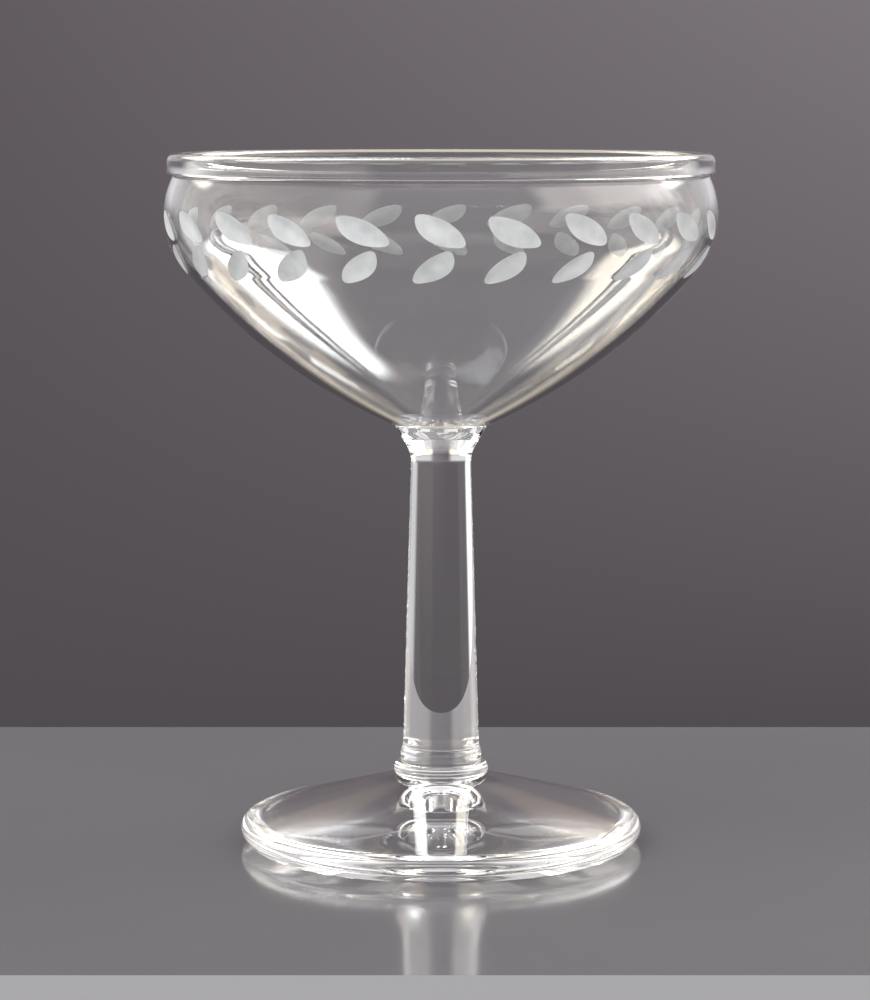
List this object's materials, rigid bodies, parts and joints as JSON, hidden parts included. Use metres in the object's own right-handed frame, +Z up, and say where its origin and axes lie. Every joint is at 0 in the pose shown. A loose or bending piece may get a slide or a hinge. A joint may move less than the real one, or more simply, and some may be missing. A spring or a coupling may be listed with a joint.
{
  "type": "coupe glass",
  "caption": "Stemmed coupe glass with a wide shallow bowl, a beaded rim, a laurel band of cut leaves, a tall solid stem, a collar and a low conical foot.",
  "frame": {"origin": "centre of the resting ring under the foot, on the table", "axes": "+Z up along the stem to the open rim; -Y is the side that the picture shows"},
  "size_m": [0.093, 0.093, 0.1173],
  "materials": {
    "bowl_glass": "clear polished soda-lime glass, with matt wheel-cut leaves",
    "stem_glass": "clear polished soda-lime glass",
    "collar_glass": "clear polished soda-lime glass",
    "foot_glass": "clear polished soda-lime glass"
  },
  "bodies": {
    "root": {"bowl": "bowl_glass", "stem": "stem_glass", "collar": "collar_glass", "foot": "foot_glass"}
  },
  "joints": []
}
